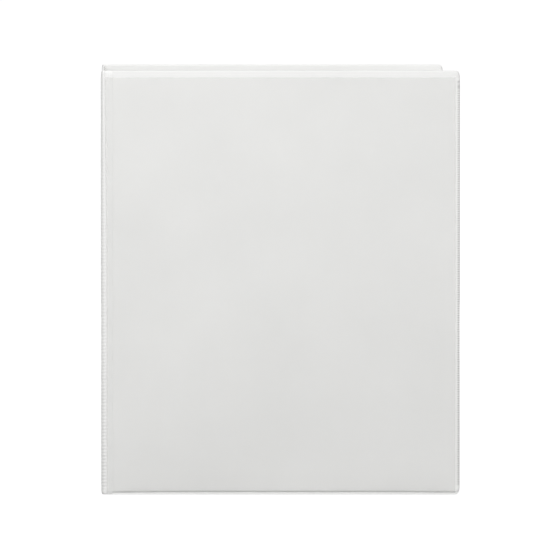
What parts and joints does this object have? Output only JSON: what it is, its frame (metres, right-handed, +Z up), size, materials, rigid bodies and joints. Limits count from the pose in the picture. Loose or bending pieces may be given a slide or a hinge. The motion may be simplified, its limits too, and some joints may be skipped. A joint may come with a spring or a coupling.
{
  "type": "ring binder",
  "caption": "Closed white vinyl presentation binder for letter sheets, with clear overlay pockets and a round-ring mechanism on its spine.",
  "frame": {"origin": "on the surface the binder stands on, under the middle of its bounding box", "axes": "+Z up along the covers' height, +X from the spine to the fore edge, -Y out of the front cover"},
  "size_m": [0.25, 0.046, 0.297],
  "materials": {
    "vinyl": "fine grained white vinyl",
    "liner": "fine grained white vinyl",
    "film": "clear semi-matte film",
    "chipboard": "grey-brown pressed board",
    "nickel": "nickel plated steel",
    "spring_steel": "plain spring steel"
  },
  "bodies": {
    "spine": {"spine_board": "chipboard", "spine_outer_vinyl": "vinyl", "spine_inner_liner": "liner", "spine_clear_overlay": "film", "back_hinge_strip": "vinyl", "ring_housing": "nickel", "rivet_top": "nickel", "rivet_bottom": "nickel"},
    "front_cover": {"front_board": "chipboard", "front_outer_vinyl": "vinyl", "front_inner_liner": "liner", "front_clear_overlay": "film", "front_inner_pocket": "film", "front_hinge_strip": "vinyl"},
    "back_cover": {"back_board": "chipboard", "back_outer_vinyl": "vinyl", "back_inner_liner": "liner", "back_clear_overlay": "film", "back_inner_pocket": "film"},
    "front_ring_halves": {"blade_front": "spring_steel", "ring_front_1": "nickel", "ring_front_2": "nickel", "ring_front_3": "nickel"},
    "back_ring_halves": {"blade_back": "spring_steel", "ring_back_1": "nickel", "ring_back_2": "nickel", "ring_back_3": "nickel"},
    "top_trigger": {"trigger_top": "nickel"},
    "bottom_trigger": {"trigger_bottom": "nickel"}
  },
  "joints": [
    {"name": "front_cover_hinge", "type": "hinge", "parent": "spine", "child": "front_cover", "pos_m": [-0.1232, -0.0212, 0.1485], "axis": [0, 0, -1], "range_deg": [0, 180]},
    {"name": "back_cover_hinge", "type": "hinge", "parent": "spine", "child": "back_cover", "pos_m": [-0.1232, 0.0212, 0.1485], "axis": [0, 0, 1], "range_deg": [0, 180]},
    {"name": "ring_opening", "type": "hinge", "parent": "spine", "child": "front_ring_halves", "pos_m": [-0.1198, -0.0089, 0.1485], "axis": [0, 0, -1], "range_deg": [0, 12]},
    {"name": "ring_opening_back", "type": "hinge", "parent": "spine", "child": "back_ring_halves", "pos_m": [-0.1198, 0.0089, 0.1485], "axis": [0, 0, 1], "range_deg": [0, 12]},
    {"name": "top_trigger_tilt", "type": "hinge", "parent": "spine", "child": "top_trigger", "pos_m": [-0.1184, 0, 0.278], "axis": [0, -1, 0], "range_deg": [0, 30]},
    {"name": "bottom_trigger_tilt", "type": "hinge", "parent": "spine", "child": "bottom_trigger", "pos_m": [-0.1184, 0, 0.019], "axis": [0, 1, 0], "range_deg": [0, 30]}
  ],
  "couplings": [
    {"joint": "ring_opening_back", "follows": "ring_opening", "ratio": 1},
    {"joint": "top_trigger_tilt", "follows": "ring_opening", "ratio": 2.5},
    {"joint": "bottom_trigger_tilt", "follows": "ring_opening", "ratio": 2.5}
  ]
}
